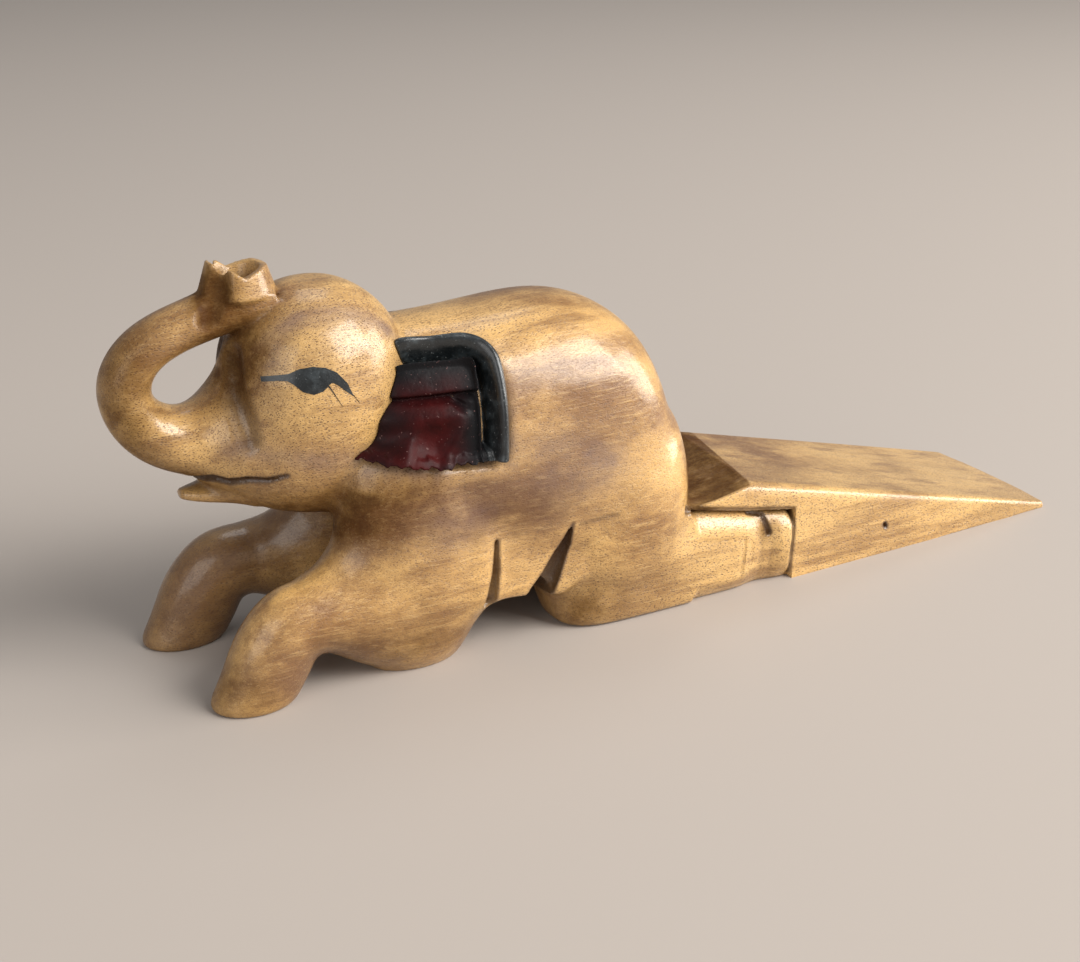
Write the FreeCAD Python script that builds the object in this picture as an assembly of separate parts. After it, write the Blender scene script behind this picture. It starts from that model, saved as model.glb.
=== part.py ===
"""Carved elephant door wedge: a kneeling elephant whose hind legs run back along a long ramp.

Millimetres.  +X runs from the trunk to the thin end of the ramp, -Y is the elephant's left side and
+Z is up.  Every member is a solid of its own that meets its neighbours face to face.
"""
import FreeCAD
import Part
import math
import os

# ---- driving dimensions -------------------------------------------------------------------------
FLOOR = 0.0                 # every sole and the underside of the ramp lie in this plane
RAMP_HALF_WIDTH = 26.0      # half the ramp's width at its ends
RAMP_BULGE = 1.0            # each long side swells this much in the middle
RIDGE_X = 28.0              # where the ramp is highest, on the left side
RIDGE_HEIGHT = 34.1
RIDGE_SKEW = 14.5           # the ridge runs this much further back on the right side
TIP_X = 149.5               # thin end of the ramp, at its corners
TIP_BOW = 2.5               # how far the thin end bows out in the middle
TIP_HEIGHT = 2.0
HOLLOW_DEPTH = 3.3          # shallow scoop between the ridge and the rump
HOLLOW_REACH = 21.0         # from the ridge to the lowest line of the scoop
EDGE_ROUND = 1.4
LEG_INNER_Y = 8.0           # the hind legs' inner faces stand this far from the ramp's middle
WEDGE_BACK_X = -4.0         # the ramp block reaches this far forward between the hind legs
RIGHT_LEG_REACH = 4.8       # the right foreleg is stretched this much further forward
LEAN = 0.04                 # the carving drifts towards +Y ahead of the ramp, mm per mm
LEAN_START_X = 30.0
PAINT = 0.35                # thickness of the eye paint
EAR_RAISE = 3.6             # how far the ear's rim stands off the shoulder
EAR_FIELD_RAISE = 1.9       # how far the ear's inner field stands off the shoulder
EAR_RIM_WIDTH = 7.0
EAR_BURIED = 3.0            # how deep the ear is let into the shoulder
EAR_TOP_OFFSET = 13.0       # the ear's upper edge lies this far from the middle plane
RIGHT_EAR_DROP = 4.5        # the right ear is carved this much lower than the left one
BELLY_HALF_WIDTH = 28.8     # the flat facets under the flanks stand this far from the middle plane
RING_POINTS = 16            # points that shape each cross-section
OVERCUT = 1.0               # cutting shapes pass this far beyond what they cut
SIDE_REACH = 80.0           # side-view plates reach well past either side
FLAT_TOLERANCE = 0.05       # how closely the printed size follows the curved surfaces

LEFT = -1.0
RIGHT = 1.0


def centre_y(x):
    """Y of the carving's middle plane at a station along the body."""
    return LEAN * max(0.0, LEAN_START_X - x)


def ring(centre, across, up, half_across, half_up, upper_power, lower_power=None):
    """A closed smooth cross-section: power 2 is an ellipse, larger is squarer."""
    points = []
    for step in range(RING_POINTS):
        angle = 2.0 * math.pi * step / RING_POINTS
        c = math.cos(angle)
        s = math.sin(angle)
        power = upper_power if s >= 0.0 or lower_power is None else lower_power
        along = math.copysign(abs(c) ** (2.0 / power), c) * half_across
        rise = math.copysign(abs(s) ** (2.0 / power), s) * half_up
        points.append(centre + across * along + up * rise)
    curve = Part.BSplineCurve()
    curve.interpolate(Points=points, PeriodicFlag=True)
    return Part.Wire([curve.toShape()])


def loft(rings):
    return Part.makeLoft(rings, True, False)


def upright_loft(stations, power, lower_power, grow=0.0):
    """Cross-sections in planes of constant x: (x, bottom, top, half width)."""
    rings = []
    for x, bottom, top, half_width in stations:
        centre = FreeCAD.Vector(x, centre_y(x), (bottom + top) / 2.0)
        half_height = (top - bottom) / 2.0 + grow
        rings.append(ring(centre, FreeCAD.Vector(0, 1, 0), FreeCAD.Vector(0, 0, 1),
                          half_width + grow, half_height, power, lower_power))
    return loft(rings)


def level_loft(stations, side, power, grow=0.0):
    """Cross-sections in level planes: (z, centre x, offset from the middle plane, half length, half width)."""
    rings = []
    for z, x, offset, half_length, half_width in stations:
        centre = FreeCAD.Vector(x, centre_y(x) + side * offset, z)
        rings.append(ring(centre, FreeCAD.Vector(1, 0, 0), FreeCAD.Vector(0, 1, 0),
                          half_length + grow, half_width + grow, power))
    return loft(rings)


def limb(stations, side, power, straight=False):
    """Cross-sections square to a path in a side view: (x, z, offset, half width, half thickness)."""
    rings = []
    last = len(stations) - 1
    for index, (x, z, offset, half_width, half_thickness) in enumerate(stations):
        before = stations[max(index - 1, 0)]
        after = stations[min(index + 1, last)]
        run = FreeCAD.Vector(after[0] - before[0], 0, after[1] - before[1]).normalize()
        up = FreeCAD.Vector(-run.z, 0, run.x)
        centre = FreeCAD.Vector(x, centre_y(x) + side * offset, z)
        rings.append(ring(centre, FreeCAD.Vector(0, 1, 0), up, half_width, half_thickness, power))
    return Part.makeLoft(rings, True, straight)


def side_prism(outline, y_from, y_to):
    """A plate with a side-view outline [(x, z), ...], from y_from to y_to."""
    points = [FreeCAD.Vector(x, y_from, z) for x, z in outline]
    face = Part.Face(Part.makePolygon(points + points[:1]))
    return face.extrude(FreeCAD.Vector(0, y_to - y_from, 0))


def above_floor(shape):
    """Trim a member to the flat underside."""
    box = shape.BoundBox
    margin = 5.0
    if box.ZMin >= FLOOR:
        return shape
    slab = Part.makeBox(box.XLength + 2 * margin, box.YLength + 2 * margin, FLOOR - box.ZMin + margin,
                        FreeCAD.Vector(box.XMin - margin, box.YMin - margin, box.ZMin - margin))
    return shape.cut(slab)


def largest_solid(shape):
    """Drop the slivers that a cut leaves beside the member."""
    return max(shape.Solids, key=lambda solid: solid.Volume)


# ---- body ---------------------------------------------------------------------------------------
TORSO_STATIONS = [
    (-90.0, 44.0, 84.5, 16.0),
    (-80.0, 37.0, 90.0, 22.0),
    (-67.0, 22.0, 91.2, 27.0),
    (-52.0, 15.2, 91.8, 29.3),
    (-36.0, 15.2, 93.0, 30.0),
    (-21.0, 16.0, 92.0, 30.3),
    (-10.0, 14.0, 87.5, 29.5),
    (-2.0, 10.0, 80.0, 27.5),
    (3.0, 8.0, 69.5, 23.0),
    (5.8, 10.0, 56.0, 15.0),
    (6.6, 18.0, 44.0, 6.5),
]
TORSO_POWER = 2.3
BELLY_POWER = 4.6
BELLY_OUTLINE = [
    (-60.5, 40.0),
    (-60.5, 18.4),
    (-36.0, 14.0),
    (-30.0, 20.0),
    (-30.0, 40.0),
]


def shoulder_skin(grow):
    """The torso swollen by a distance, or shrunk by a negative one, short of the rump."""
    return upright_loft(TORSO_STATIONS[:-2], TORSO_POWER, BELLY_POWER, grow)


def make_torso():
    """The body, squared off under the flanks between the forelegs and the hind legs."""
    middle_y = centre_y(BELLY_OUTLINE[2][0])
    belly = side_prism(BELLY_OUTLINE, middle_y - BELLY_HALF_WIDTH, middle_y + BELLY_HALF_WIDTH)
    return upright_loft(TORSO_STATIONS, TORSO_POWER, BELLY_POWER).fuse(belly)


# ---- head ---------------------------------------------------------------------------------------
HEAD_STATIONS = [
    (42.5, -93.5, 0.0, 4.5, 5.0),
    (44.5, -94.5, 0.0, 9.5, 10.0),
    (49.0, -97.5, 0.0, 17.5, 16.0),
    (57.0, -99.0, 0.0, 22.5, 20.5),
    (68.0, -97.0, 0.0, 24.3, 23.0),
    (80.0, -94.5, 0.0, 24.5, 24.0),
    (91.0, -93.5, 0.0, 22.3, 21.5),
    (99.0, -93.2, 0.0, 16.3, 16.0),
    (103.3, -93.0, 0.0, 9.5, 9.5),
    (104.8, -93.0, 0.0, 3.0, 3.0),
]
HEAD_POWER = 2.1


def make_head():
    return level_loft(HEAD_STATIONS, LEFT, HEAD_POWER)


LIP_STATIONS = [
    (-98.0, 51.5, 0.0, 13.0, 6.0),
    (-108.0, 51.0, 0.0, 11.0, 4.8),
    (-118.0, 51.8, 0.0, 8.0, 3.2),
    (-126.0, 52.2, 0.0, 5.0, 2.2),
    (-131.0, 52.6, 0.0, 2.0, 1.2),
]


def make_lower_jaw():
    return limb(LIP_STATIONS, LEFT, 2.0)


# ---- trunk --------------------------------------------------------------------------------------
TRUNK_STATIONS = [
    (-106.0, 68.5, 0.0, 15.0, 11.0),
    (-116.0, 67.0, 0.0, 13.5, 10.0),
    (-126.5, 67.0, 0.0, 11.0, 9.3),
    (-135.0, 70.0, 0.0, 9.2, 7.9),
    (-140.8, 76.3, 0.0, 8.3, 6.9),
    (-141.9, 84.0, 0.0, 7.8, 6.5),
    (-138.0, 90.8, 0.0, 7.5, 6.1),
    (-130.8, 95.3, 0.0, 7.4, 5.9),
    (-121.5, 98.3, 0.0, 7.5, 5.9),
    (-113.0, 100.6, 0.0, 7.8, 6.2),
    (-104.0, 103.0, 0.0, 7.6, 5.4),
]
TRUNK_POWER = 2.0
NOSTRIL_BASE = (-111.5, 98.0)       # foot of the flared trunk tip, (x, z)
NOSTRIL_TOP = (-112.1, 112.4)       # middle of its open rim
NOSTRIL_FOOT_RADIUS = 5.5
NOSTRIL_RIM_RADIUS = 9.0
NOSTRIL_BORE_RADIUS = 6.6
NOSTRIL_BORE_FOOT_RADIUS = 1.0
NOSTRIL_BORE_DEPTH = 8.5
NOTCH_HALF_WIDTH = 6.5              # the V cut across the open tip
NOTCH_DEPTH = 4.4


def make_nostril_cup():
    """The open trunk tip: a flared cup with a V notch across it that leaves two pointed lips."""
    foot = FreeCAD.Vector(NOSTRIL_BASE[0], centre_y(NOSTRIL_BASE[0]), NOSTRIL_BASE[1])
    rim = FreeCAD.Vector(NOSTRIL_TOP[0], centre_y(NOSTRIL_TOP[0]), NOSTRIL_TOP[1])
    axis = rim - foot
    cup = Part.makeCone(NOSTRIL_FOOT_RADIUS, NOSTRIL_RIM_RADIUS, axis.Length, foot, axis)
    bore_foot = rim - axis.normalize() * NOSTRIL_BORE_DEPTH
    bore = Part.makeCone(NOSTRIL_BORE_FOOT_RADIUS, NOSTRIL_BORE_RADIUS, NOSTRIL_BORE_DEPTH, bore_foot, axis)
    notch_outline = [
        (rim.x - NOTCH_HALF_WIDTH, rim.z + OVERCUT),
        (rim.x, rim.z - NOTCH_DEPTH),
        (rim.x + NOTCH_HALF_WIDTH, rim.z + OVERCUT),
    ]
    reach = NOSTRIL_RIM_RADIUS + OVERCUT
    notch = side_prism(notch_outline, rim.y - reach, rim.y + reach)
    return cup, bore, notch


def make_trunk():
    cup, bore, notch = make_nostril_cup()
    return limb(TRUNK_STATIONS, LEFT, TRUNK_POWER).fuse(cup).cut(bore).cut(notch)


# ---- legs ---------------------------------------------------------------------------------------
UPPER_ARM_STATIONS = [
    (-1.0, -76.5, 17.0, 6.5, 4.0),
    (3.0, -75.0, 17.3, 11.5, 8.3),
    (9.0, -74.8, 18.0, 12.5, 10.6),
    (16.0, -73.2, 18.4, 14.6, 11.6),
    (26.0, -71.6, 18.5, 16.8, 12.0),
    (34.0, -72.5, 18.0, 17.0, 12.2),
    (46.0, -76.0, 16.0, 17.0, 11.5),
    (60.0, -78.0, 13.0, 13.0, 9.0),
]
FORELEG_STATIONS = [
    (-72.0, 17.0, 18.0, 11.0, 13.5),
    (-84.0, 18.0, 19.0, 11.0, 14.2),
    (-94.0, 19.8, 20.0, 10.3, 11.8),
    (-103.0, 20.8, 20.6, 9.8, 9.8),
    (-110.5, 19.6, 21.0, 9.5, 10.2),
    (-115.5, 14.5, 21.3, 9.3, 10.7),
    (-119.3, 7.5, 21.5, 9.1, 10.6),
    (-123.6, 0.0, 21.5, 8.8, 9.8),
    (-128.2, -8.0, 21.5, 8.0, 8.4),
]
ELBOW_X = -72.0             # ahead of this the right foreleg is stretched
KNEE_X = -110.5
HIND_LEG_STATIONS = [
    (-33.5, 15.0, 15.0, 4.0, 5.0),
    (-31.5, 14.6, 15.3, 8.5, 11.4),
    (-26.0, 13.5, 15.6, 11.6, 16.6),
    (-15.0, 12.0, 15.5, 13.0, 19.0),
    (0.0, 11.0, 15.3, 13.0, 18.0),
    (14.0, 10.0, 14.9, 13.0, 17.2),
    (26.0, 8.8, 14.6, 12.9, 16.2),
]
THIGH_STATIONS = [
    (8.0, -14.0, 16.0, 18.0, 12.0),
    (20.0, -13.0, 16.0, 20.0, 14.0),
    (34.0, -10.0, 15.5, 20.0, 15.0),
    (48.0, -7.0, 14.0, 15.0, 13.5),
    (58.0, -5.0, 12.0, 8.0, 9.0),
]
HIND_FOOT_STATIONS = [
    (26.0, 8.8, 14.6, 12.9, 16.2),
    (29.3, 8.6, 14.1, 11.8, 14.8),
    (32.5, 9.0, 14.8, 13.4, 16.0),
    (41.8, 8.2, 15.0, 13.4, 15.2),
]
LEG_POWER = 3.2


def stretched(stations, reach):
    """The foreleg's stations moved forward, from nothing at the elbow to the full reach at the knee."""
    moved = []
    for x, z, offset, half_width, half_thickness in stations:
        share = min(1.0, max(0.0, (ELBOW_X - x) / (ELBOW_X - KNEE_X)))
        moved.append((x - reach * share, z, offset, half_width, half_thickness))
    return moved


def make_foreleg(side):
    """Shoulder, bent elbow, knee and flat-soled hoof of one foreleg."""
    upper_arm = level_loft(UPPER_ARM_STATIONS, side, 2.0)
    reach = RIGHT_LEG_REACH if side == RIGHT else 0.0
    forearm = limb(stretched(FORELEG_STATIONS, reach), side, 2.0)
    return above_floor(upper_arm.fuse(forearm))


def outer_half(side):
    """The space outside a hind leg's flat inner face."""
    corner_y = LEG_INNER_Y if side == RIGHT else -LEG_INNER_Y - SIDE_REACH
    corner = FreeCAD.Vector(-SIDE_REACH, corner_y, FLOOR)
    return Part.makeBox(2.0 * SIDE_REACH, SIDE_REACH, SIDE_REACH, corner)


def make_hind_leg(side):
    """Thigh and kneeling shin of one hind leg, up to the ankle."""
    shin = limb(HIND_LEG_STATIONS, side, LEG_POWER)
    thigh = level_loft(THIGH_STATIONS, side, 2.0)
    return shin.fuse(thigh).common(outer_half(side))


def make_hind_foot(side):
    """Ankle ring and foot stretched back along the ramp."""
    return limb(HIND_FOOT_STATIONS, side, LEG_POWER, True).common(outer_half(side))


# ---- ramp ---------------------------------------------------------------------------------------
def ramp_height(x):
    """Height of the flat ramp face at a station."""
    slope = (RIDGE_HEIGHT - TIP_HEIGHT) / (TIP_X - RIDGE_X)
    return TIP_HEIGHT + slope * (TIP_X - x)


def point(x, y, z=0.0):
    return FreeCAD.Vector(x, y, z)


def make_ramp_block():
    """The ramp's plan, with gently swelling sides and a bowed thin end, raised to full height."""
    w = RAMP_HALF_WIDTH
    middle_x = (WEDGE_BACK_X + TIP_X) / 2.0
    bulge = w + RAMP_BULGE
    plan = Part.Wire([
        Part.Arc(point(WEDGE_BACK_X, -w), point(middle_x, -bulge), point(TIP_X, -w)).toShape(),
        Part.Arc(point(TIP_X, -w), point(TIP_X + TIP_BOW, 0), point(TIP_X, w)).toShape(),
        Part.Arc(point(TIP_X, w), point(middle_x, bulge), point(WEDGE_BACK_X, w)).toShape(),
        Part.LineSegment(point(WEDGE_BACK_X, w), point(WEDGE_BACK_X, -w)).toShape(),
    ])
    return Part.Face(plan).extrude(point(0, 0, ramp_height(WEDGE_BACK_X) + OVERCUT))


def make_wedge():
    """The ramp that goes under the door, with a shallow hollow between its ridge and the rump."""
    block = make_ramp_block()
    reach = 2.0 * RAMP_HALF_WIDTH
    far_x = TIP_X + reach
    near_x = WEDGE_BACK_X - reach
    above = side_prism([
        (far_x, ramp_height(far_x)),
        (far_x, SIDE_REACH),
        (near_x, SIDE_REACH),
        (near_x, ramp_height(near_x)),
    ], -reach, reach)
    ramp = block.cut(above)
    long_edges = []
    for edge in ramp.Edges:
        box = edge.BoundBox
        if box.XLength > TIP_X / 2.0 and box.ZLength > RIDGE_HEIGHT / 2.0:
            long_edges.append(edge)
    radius = (HOLLOW_REACH ** 2 + HOLLOW_DEPTH ** 2) / (2.0 * HOLLOW_DEPTH)
    along = point(RIDGE_SKEW, 2.0 * RAMP_HALF_WIDTH).normalize()
    square = point(-along.y, along.x)
    start = point(RIDGE_X, -RAMP_HALF_WIDTH) + square * HOLLOW_REACH - along * reach
    start.z = RIDGE_HEIGHT - HOLLOW_DEPTH + radius
    scoop = Part.makeCylinder(radius, 4.0 * reach, start, along)
    ramp = ramp.makeFillet(EDGE_ROUND, long_edges)
    return largest_solid(ramp.cut(scoop))


# ---- ears and eyes ------------------------------------------------------------------------------
EAR_OUTLINE = [
    (-96.0, 60.5),
    (-92.0, 91.0),
    (-76.0, 89.5),
    (-64.0, 88.0),
    (-57.0, 85.6),
    (-53.2, 82.0),
    (-51.4, 77.0),
    (-51.6, 68.0),
    (-52.6, 56.5),
    (-62.0, 56.5),
    (-74.0, 57.8),
]
EAR_CORNER_CUT = [(9.0, 0.0), (3.5, 4.0), (1.0, 12.0)]     # the field's corner: (forward, down)
EAR_MARGIN = 5.0            # the field's cutting outline passes the ear's front and lower edges
EYE_OUTLINE = [
    (-115.5, 87.3),
    (-109.5, 88.6),
    (-104.0, 89.4),
    (-98.5, 87.2),
    (-92.3, 81.0),
    (-98.5, 83.2),
    (-103.5, 82.6),
    (-108.0, 85.8),
]


def ear_outline(side):
    """The ear in side view; the right one hangs lower."""
    drop = RIGHT_EAR_DROP if side == RIGHT else 0.0
    return [(x, z - drop) for x, z in EAR_OUTLINE]


def ear_shell(side, raise_by):
    """A plate with the ear's outline that follows the shoulder and stands off it."""
    top_y = centre_y(EAR_OUTLINE[2][0]) + side * EAR_TOP_OFFSET
    far_y = side * SIDE_REACH
    plate = side_prism(ear_outline(side), min(top_y, far_y), max(top_y, far_y))
    return plate.common(shoulder_skin(raise_by)).cut(shoulder_skin(-EAR_BURIED))


def inset_field_prism(side):
    """The space inside the rim: it is open at the front and at the bottom of the ear."""
    ear = ear_outline(side)
    left_x = min(x for x, z in ear) - EAR_MARGIN
    low_z = min(z for x, z in ear) - EAR_MARGIN
    right_x = max(x for x, z in ear) - EAR_RIM_WIDTH
    high_z = max(z for x, z in ear) - EAR_RIM_WIDTH
    outline = [(left_x, low_z), (left_x, high_z)]
    for forward, down in EAR_CORNER_CUT:
        outline.append((right_x - forward, high_z - down))
    outline.append((right_x, low_z))
    far_y = side * SIDE_REACH
    return side_prism(outline, min(0.0, far_y), max(0.0, far_y))


def make_ear(side):
    """The ear's field and the raised rim along its top and rear edges."""
    inner = inset_field_prism(side)
    return ear_shell(side, EAR_FIELD_RAISE).common(inner), ear_shell(side, EAR_RAISE).cut(inner)


def make_eye(side):
    """A thin film of paint over the side of the head."""
    far_y = side * SIDE_REACH
    plate = side_prism(EYE_OUTLINE, min(0.0, far_y), max(0.0, far_y))
    proud = level_loft(HEAD_STATIONS, LEFT, HEAD_POWER, PAINT)
    return plate.common(proud)


# ---- assembly -----------------------------------------------------------------------------------
def build():
    torso = make_torso()
    head = make_head()
    jaw = make_lower_jaw()
    trunk = make_trunk()
    wedge = make_wedge()
    parts = {}
    parts["torso"] = torso.cut(head)
    parts["head"] = head
    parts["lower_jaw"] = jaw.cut(head)
    parts["trunk"] = trunk.cut(head).cut(jaw)
    for side, name in ((LEFT, "left"), (RIGHT, "right")):
        foreleg = make_foreleg(side)
        leg = make_hind_leg(side)
        foot = make_hind_foot(side)
        field, rim = make_ear(side)
        parts["ear_field_" + name] = field.cut(head)
        parts["ear_rim_" + name] = rim.cut(head)
        parts["torso"] = parts["torso"].cut(field).cut(rim)
        parts["foreleg_" + name] = foreleg.cut(torso).cut(head)
        parts["hind_leg_" + name] = leg.cut(torso)
        parts["hind_foot_" + name] = foot.cut(leg)
        parts["eye_" + name] = make_eye(side).cut(head)
        wedge = wedge.cut(leg).cut(foot)
    parts["wedge"] = wedge.cut(torso)
    return {name: largest_solid(shape) for name, shape in parts.items()}


def tight_box(shapes):
    """The box of the points on the surfaces, which is tighter than the box of their control points."""
    box = FreeCAD.BoundBox()
    for shape in shapes:
        for vertex in shape.tessellate(FLAT_TOLERANCE)[0]:
            box.add(vertex)
    return box


def main():
    os.makedirs("parts", exist_ok=True)
    parts = build()
    box = tight_box(parts.values())
    shift = FreeCAD.Vector(-box.Center.x, -box.Center.y, 0)
    print("size", [round(v, 2) for v in (box.XLength, box.YLength, box.ZLength)], "shift", shift)
    for name, shape in parts.items():
        shape.translate(shift)
        shape.exportStep("parts/" + name + ".step")
        print(name, "valid", shape.isValid(), "solids", len(shape.Solids), "volume", round(shape.Volume))


main()
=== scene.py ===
"""Looks of the carved elephant door wedge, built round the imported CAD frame.

The wooden members are merged into one carved form on a voxel grid, smoothed and grooved, and then cut
back into one piece for each CAD member.  Voxel work is in millimetres,
Blender objects are in metres.
"""
import math
from types import SimpleNamespace

import bpy
import numpy as np
import openvdb
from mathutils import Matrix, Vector
from mathutils.geometry import delaunay_2d_cdt


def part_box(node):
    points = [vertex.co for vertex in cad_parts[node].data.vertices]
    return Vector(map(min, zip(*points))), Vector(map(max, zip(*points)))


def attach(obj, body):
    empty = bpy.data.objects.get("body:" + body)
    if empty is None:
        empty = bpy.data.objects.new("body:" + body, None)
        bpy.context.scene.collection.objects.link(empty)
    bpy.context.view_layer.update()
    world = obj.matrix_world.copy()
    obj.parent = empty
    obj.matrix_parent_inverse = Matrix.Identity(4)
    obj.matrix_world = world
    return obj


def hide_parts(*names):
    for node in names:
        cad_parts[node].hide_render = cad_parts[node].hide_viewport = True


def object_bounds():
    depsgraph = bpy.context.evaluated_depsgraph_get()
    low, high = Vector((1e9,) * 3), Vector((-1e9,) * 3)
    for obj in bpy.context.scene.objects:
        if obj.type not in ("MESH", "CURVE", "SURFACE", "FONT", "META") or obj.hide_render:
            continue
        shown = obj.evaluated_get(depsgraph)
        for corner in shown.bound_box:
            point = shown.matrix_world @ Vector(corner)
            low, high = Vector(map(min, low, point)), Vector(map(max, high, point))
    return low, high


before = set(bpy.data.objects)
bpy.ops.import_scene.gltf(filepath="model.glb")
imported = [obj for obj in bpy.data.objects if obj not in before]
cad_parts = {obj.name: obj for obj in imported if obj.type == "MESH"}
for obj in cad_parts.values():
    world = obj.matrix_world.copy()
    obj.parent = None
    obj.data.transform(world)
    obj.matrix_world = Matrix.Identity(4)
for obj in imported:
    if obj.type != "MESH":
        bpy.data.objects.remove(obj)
cad_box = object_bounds()

MM = 1000.0
VOXEL = 0.5      # mm
MARGIN = 5.0                            # mm of empty grid round the object
SKIN = 0.12                             # a point this near the form's surface lies on it
PAINT = 0.1                             # the eye paint stands this far off the wood
EAR_CORNER = 10.0                       # radius of the ear's upper rear corner
EAR_SLANT = 0.07                        # the ear's rear edge leans back, mm per mm
EAR_GROOVE = 5.5                        # middle of the groove inside the ear's rim
EAR_FALL = 5.0                          # the right ear's top edge lies this much further out


# ---- places taken from the frame, in millimetres --------------------------------------------------
def corners(node):
    low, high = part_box(node)
    return np.array(low) * MM, np.array(high) * MM


def centre(node):
    low, high = corners(node)
    return (low + high) / 2.0


HEAD = centre("head")
TORSO = centre("torso")
FOOT_LOW, FOOT_HIGH = corners("hind_foot_left")
WEDGE_LOW, WEDGE_HIGH = corners("wedge")
EAR_LOW, EAR_HIGH = corners("ear_rim_left")
EAR_DROP = EAR_HIGH[2] - corners("ear_rim_right")[1][2]      # the right ear hangs this much lower
RAMP_TIP = 2.0                          # the ramp's height at its thin end
RAMP_SLOPE = (WEDGE_HIGH[2] - RAMP_TIP) / (WEDGE_HIGH[0] - FOOT_LOW[0] - 5.0)
RIDGE_SKEW = 14.5                       # the ridge runs this much further back on the right side
# the knife-cut line where a hind leg meets the side of the ramp, seen from the side
LEG_TOP_X = [FOOT_LOW[0] - 20.0, FOOT_LOW[0] - 12.0, FOOT_LOW[0] + 2.0, FOOT_HIGH[0]]
LEG_TOP_Z = [30.2, 28.3, 25.3, 22.6]
MIDDLE_START_X = FOOT_LOW[0]
MIDDLE_START_Y = (WEDGE_LOW[1] + WEDGE_HIGH[1]) / 2.0
LEAN = (HEAD[1] - MIDDLE_START_Y) / (MIDDLE_START_X - HEAD[0])


def middle_y(x):
    """Y of the carving's leaning middle plane."""
    return MIDDLE_START_Y + LEAN * np.maximum(0.0, MIDDLE_START_X - x)


# ---- voxel lattice ----------------------------------------------------------------------------------
class Lattice:
    """Voxels between two corners, with their coordinates; s is the distance from the middle plane."""

    def __init__(self, low, high, voxel):
        self.voxel = voxel
        self.first = np.floor(np.array(low) / voxel + 0.01).astype(int)
        self.shape = np.ceil(np.array(high) / voxel - 0.01).astype(int) - self.first + 1
        ends = []
        for axis in range(3):
            ends.append((voxel * (self.first[axis] + np.arange(self.shape[axis]))).astype(np.float32))
        self.x = ends[0][:, None, None]
        self.y = ends[1][None, :, None]
        self.z = ends[2][None, None, :]
        self.s = np.abs(self.y - middle_y(self.x))

    def part(self, low, high):
        """The part of this lattice between two corners: its place here, and its own lattice."""
        own_low = self.first * self.voxel
        own_high = (self.first + self.shape - 1) * self.voxel
        small = Lattice(np.maximum(low, own_low), np.minimum(high, own_high), self.voxel)
        start = small.first - self.first
        return tuple(slice(a, a + n) for a, n in zip(start, small.shape)), small

    def points(self):
        grid = np.broadcast_arrays(self.x, self.y, self.z)
        return np.stack([g.ravel() for g in grid], axis=1).astype(float)


BODY = Lattice(np.array(cad_box[0]) * MM - MARGIN, np.array(cad_box[1]) * MM + MARGIN, VOXEL)


def triangles_of(obj):
    mesh = obj.data
    mesh.calc_loop_triangles()
    points = np.empty(len(mesh.vertices) * 3, np.float32)
    mesh.vertices.foreach_get("co", points)
    faces = np.empty(len(mesh.loop_triangles) * 3, np.int32)
    mesh.loop_triangles.foreach_get("vertices", faces)
    return points.reshape(-1, 3) * MM, faces.reshape(-1, 3).astype(np.uint32)


def distance_to(node, band):
    """Signed distance to a CAD node on the body lattice, negative inside and capped at band."""
    points, faces = triangles_of(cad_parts[node])
    grid = openvdb.FloatGrid.createLevelSetFromPolygons(
        points, triangles=faces, transform=openvdb.createLinearTransform(voxelSize=VOXEL),
        halfWidth=band / VOXEL)
    values = np.empty(BODY.shape, np.float32)
    grid.copyToArray(values, ijk=tuple(int(i) for i in BODY.first))
    return values


def join(a, b, radius):
    """Union of two solids with a fillet of about that radius where they meet."""
    share = np.maximum(radius - np.abs(a - b), 0.0) / radius
    return np.minimum(a, b) - share * share * radius * 0.25


def carve(a, tool, radius):
    """Solid a with the tool's shape taken out, and the new edge rounded."""
    return -join(-a, tool, radius)


def blur(field, passes):
    """Smooth a field; each pass spreads it by about 0.7 voxel."""
    for _ in range(passes):
        for axis in range(3):
            padded = np.concatenate([
                np.take(field, [0], axis), field, np.take(field, [-1], axis)], axis)
            before = [slice(None)] * 3
            after = [slice(None)] * 3
            before[axis] = slice(0, -2)
            after[axis] = slice(2, None)
            field = 0.5 * field + 0.25 * (padded[tuple(before)] + padded[tuple(after)])
    return field


def sample(field, lattice, points):
    """Trilinear value of a field at points in millimetres."""
    g = points / lattice.voxel - lattice.first
    i = np.clip(np.floor(g).astype(int), 0, np.array(field.shape) - 2)
    f = np.clip(g - i, 0.0, 1.0).astype(np.float32)
    total = 0.0
    for dx in (0, 1):
        wx = f[:, 0] if dx else 1.0 - f[:, 0]
        for dy in (0, 1):
            wy = f[:, 1] if dy else 1.0 - f[:, 1]
            for dz in (0, 1):
                wz = f[:, 2] if dz else 1.0 - f[:, 2]
                total = total + wx * wy * wz * field[i[:, 0] + dx, i[:, 1] + dy, i[:, 2] + dz]
    return total


def slope_of(field, lattice, points):
    """Gradient of a field at points."""
    step = lattice.voxel * 0.75
    parts = []
    for axis in range(3):
        shift = np.zeros(3)
        shift[axis] = step
        ahead = sample(field, lattice, points + shift)
        behind = sample(field, lattice, points - shift)
        parts.append((ahead - behind) / (2 * step))
    return np.stack(parts, axis=1)


def unit(vectors):
    return vectors / np.maximum(np.linalg.norm(vectors, axis=-1, keepdims=True), 1e-9)


def settle(field, lattice, points, rounds=3):
    """Move points along the field's slope onto its surface."""
    for _ in range(rounds):
        slope = slope_of(field, lattice, points)
        size = np.maximum((slope ** 2).sum(axis=1), 0.05)
        move = -slope * (sample(field, lattice, points) / size)[:, None]
        length = np.linalg.norm(move, axis=1, keepdims=True)
        points = points + move * np.minimum(1.0, lattice.voxel / np.maximum(length, 1e-9))
    return points


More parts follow.
